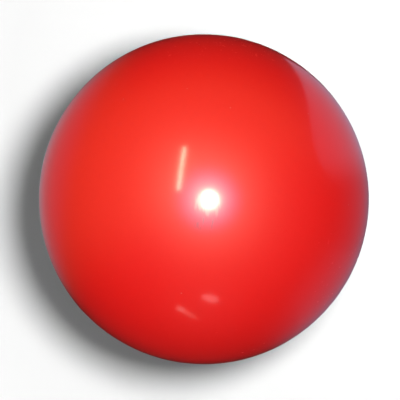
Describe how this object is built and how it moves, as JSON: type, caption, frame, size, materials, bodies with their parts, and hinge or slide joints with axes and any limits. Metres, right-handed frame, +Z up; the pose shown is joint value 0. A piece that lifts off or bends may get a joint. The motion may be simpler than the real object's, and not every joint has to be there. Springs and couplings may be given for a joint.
{
  "type": "toy ball",
  "caption": "Round glossy inflatable vinyl play ball: a seamless hollow moulded skin with an inner boss, a flush valve collar and a pull-out plug.",
  "frame": {"origin": "centre of the ball", "axes": "+Z up; +Y out of the ball along the valve's axis"},
  "size_m": [0.18, 0.18, 0.18],
  "materials": {
    "skin_vinyl": "gloss",
    "collar_vinyl": "satin",
    "plug_plastic": "satin"
  },
  "bodies": {
    "ball": {"ball_shell": "skin_vinyl", "valve_collar": "collar_vinyl"},
    "plug": {"valve_plug": "plug_plastic"}
  },
  "joints": [
    {"name": "plug_pull", "type": "slide", "parent": "ball", "child": "plug", "axis": [0, 1, 0], "range_m": [0, 0.018]}
  ]
}
